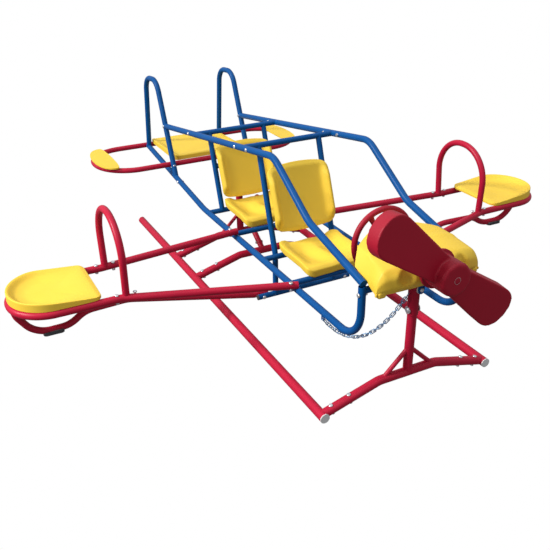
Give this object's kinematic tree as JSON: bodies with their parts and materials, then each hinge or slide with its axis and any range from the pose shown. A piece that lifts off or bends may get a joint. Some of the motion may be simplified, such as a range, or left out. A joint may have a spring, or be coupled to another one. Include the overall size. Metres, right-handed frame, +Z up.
{
  "type": "seesaw",
  "caption": "Aeroplane-shaped rocking seesaw: tubular ground frame, tilting fuselage with cockpit, wing and tail seats, steering wheel and spinning propeller.",
  "frame": {"origin": "middle of the footprint, on the ground", "axes": "+Z up; -Y towards the nose and propeller; X across the wings"},
  "size_m": [3.4712, 3.36, 1.1043],
  "materials": {
    "red_enamel": "glossy powder coat",
    "blue_enamel": "glossy powder coat",
    "yellow_plastic": "satin blow-moulded polyethylene",
    "red_plastic": "satin moulded polyethylene",
    "pale_cap": "satin",
    "black_rubber": "matt",
    "bush_plastic": "satin",
    "zinc": "bright zinc plate",
    "spindle_steel": "turned",
    "chain_steel": "zinc plate, blue passivate"
  },
  "bodies": {
    "base": {"base_rail_left": "red_enamel", "base_rail_right": "red_enamel", "rail_end_caps": "pale_cap", "front_cross_frame": "red_enamel", "middle_cross_tube": "red_enamel", "rear_cross_frame": "red_enamel", "rear_brace": "red_enamel", "front_pivot_head": "red_enamel", "rear_pivot_head": "red_enamel", "pivot_bushes": "bush_plastic", "base_bolts": "zinc", "post_bolts": "zinc"},
    "rocker": {"tail_loop": "red_enamel", "top_rail_left": "blue_enamel", "fin_hoop_left": "blue_enamel", "bottom_tube_left": "blue_enamel", "top_rail_right": "blue_enamel", "fin_hoop_right": "blue_enamel", "bottom_tube_right": "blue_enamel", "rear_top_crossbar": "blue_enamel", "front_top_crossbar": "blue_enamel", "rear_seat_rear_crossbar": "blue_enamel", "rear_seat_front_crossbar": "blue_enamel", "front_seat_rear_crossbar": "blue_enamel", "front_seat_front_crossbar": "blue_enamel", "low_cross_tube": "blue_enamel", "low_tube_caps": "black_rubber", "rear_seat_upright_left": "blue_enamel", "rear_seat_upright_right": "blue_enamel", "front_seat_upright_left": "blue_enamel", "front_seat_upright_right": "blue_enamel", "nose_hanger": "blue_enamel", "rear_hanger": "blue_enamel", "pivot_axles": "zinc", "wing_tube_left": "red_enamel", "wing_handle_left": "red_enamel", "wing_strut_left": "red_enamel", "wing_tube_right": "red_enamel", "wing_handle_right": "red_enamel", "wing_strut_right": "red_enamel", "bumper_pads": "black_rubber", "wing_seat_left": "yellow_plastic", "wing_seat_right": "yellow_plastic", "tail_seat": "yellow_plastic", "tail_tip_plate_left": "yellow_plastic", "tail_tip_plate_right": "yellow_plastic", "rear_seat_pan": "yellow_plastic", "front_seat_pan": "yellow_plastic", "rear_seat_back": "yellow_plastic", "front_seat_back": "yellow_plastic", "nose_cowl": "yellow_plastic", "spindle_bracket": "blue_enamel", "steering_spindle": "spindle_steel", "propeller_shaft": "spindle_steel", "propeller_nut": "zinc", "rocker_bolts": "zinc", "chain_lug": "blue_enamel", "limit_chain": "chain_steel"},
    "steering_wheel": {"steering_wheel": "red_plastic"},
    "propeller": {"propeller": "red_plastic"}
  },
  "joints": [
    {"name": "rock", "type": "hinge", "parent": "base", "child": "rocker", "pos_m": [0, -0.43903, 0.6104], "axis": [0, 1, 0], "range_deg": [-8, 8], "deforming": ["limit_chain"]},
    {"name": "wheel_spin", "type": "hinge", "parent": "rocker", "child": "steering_wheel", "pos_m": [0, -1.11403, 0.7354], "axis": [0, 1, 0], "continuous": true},
    {"name": "propeller_spin", "type": "hinge", "parent": "rocker", "child": "propeller", "pos_m": [0, -1.58503, 0.7654], "axis": [0, 1, 0], "continuous": true}
  ]
}
